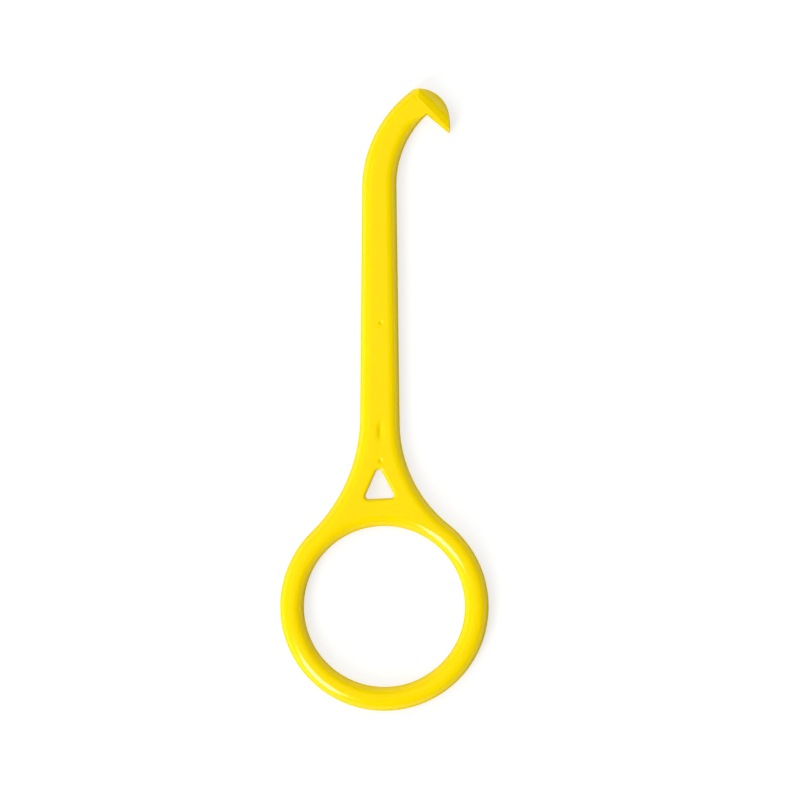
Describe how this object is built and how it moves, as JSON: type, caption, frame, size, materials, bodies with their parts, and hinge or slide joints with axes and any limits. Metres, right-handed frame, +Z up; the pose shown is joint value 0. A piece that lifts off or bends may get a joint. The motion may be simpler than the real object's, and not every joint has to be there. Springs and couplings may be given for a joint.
{
  "type": "aligner removal hook",
  "caption": "Slim one-piece plastic hand hook for pulling off clear dental aligners: finger ring, flared neck with a small window, flat shank, bent arm and half-domed hook tip.",
  "frame": {"origin": "bottom centre of the bounding box: under the middle of the tool's length, midway across the ring, at the level of the surface it lies on", "axes": "+X across the tool, towards the side the hook bends to; +Y along the tool, from the ring to the hook; +Z up through its thickness as it lies flat"},
  "size_m": [0.0302, 0.09, 0.0035],
  "materials": {
    "yellow_plastic": "smooth glossy injection-moulded plastic, opaque warm yellow"
  },
  "bodies": {
    "root": {"finger_ring": "yellow_plastic", "neck": "yellow_plastic", "shank": "yellow_plastic", "hook_arm": "yellow_plastic", "hook_tip": "yellow_plastic"}
  },
  "joints": []
}
